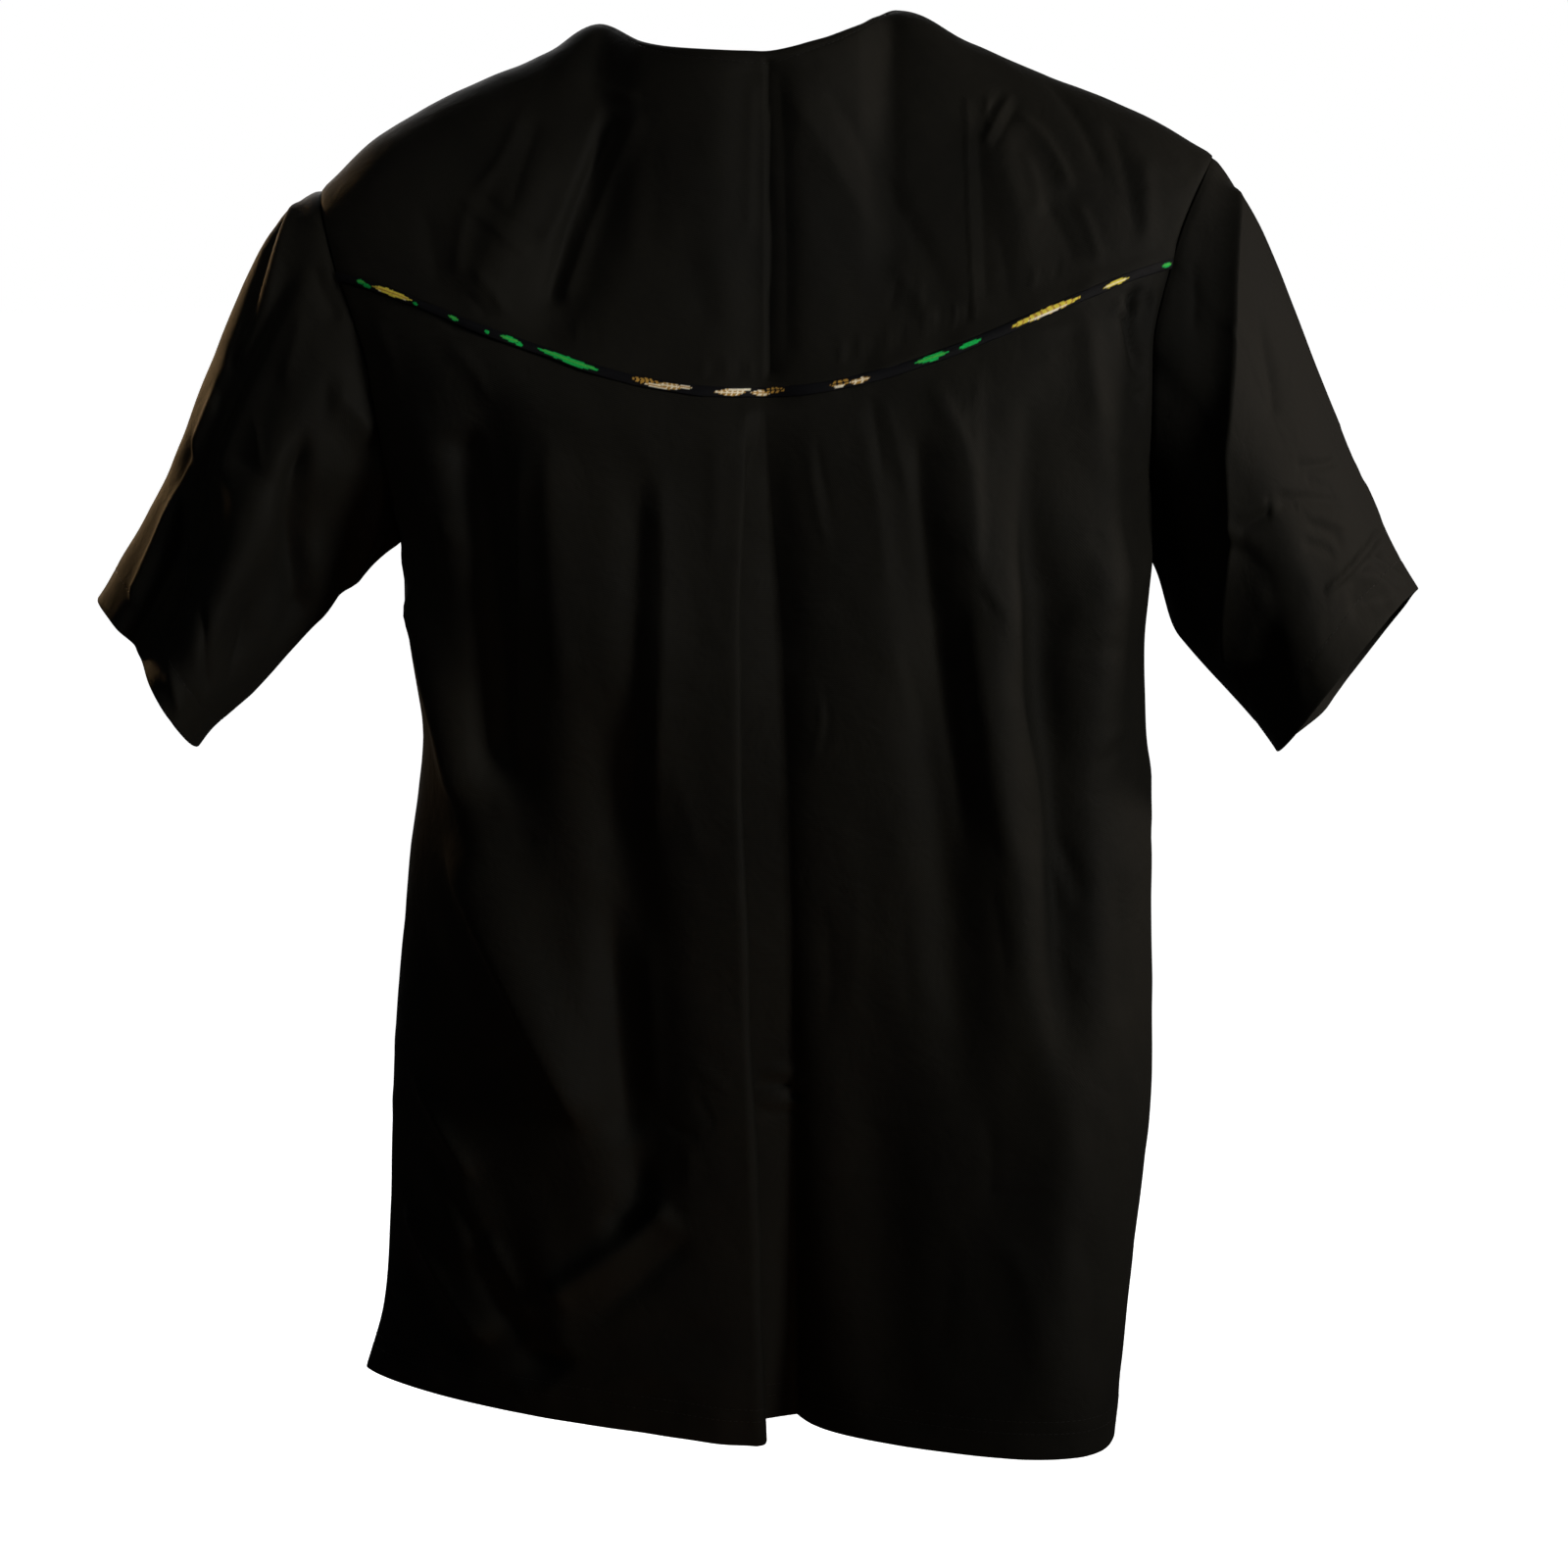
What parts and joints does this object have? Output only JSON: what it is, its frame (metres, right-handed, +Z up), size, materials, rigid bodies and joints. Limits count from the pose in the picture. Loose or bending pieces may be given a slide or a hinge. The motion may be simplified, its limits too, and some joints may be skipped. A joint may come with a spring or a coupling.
{
  "type": "dashiki shirt",
  "caption": "Short-sleeved pullover dashiki shirt, filled out as worn, with a curved back yoke, printed piping in its seam and a centre back pleat.",
  "frame": {"origin": "midway between the two neck points on the shoulder line, where the wearer's shoulders carry the shirt", "axes": "+Z up, +X to the wearer's right, -Y the way the garment's back faces"},
  "size_m": [0.7145, 0.2682, 0.7428],
  "materials": {
    "cotton": "matte",
    "piping": "matte"
  },
  "bodies": {
    "root": {"back_yoke": "cotton", "back_panel": "cotton", "front_panel": "cotton", "sleeve_left": "cotton", "sleeve_right": "cotton", "yoke_piping": "piping"}
  },
  "joints": []
}
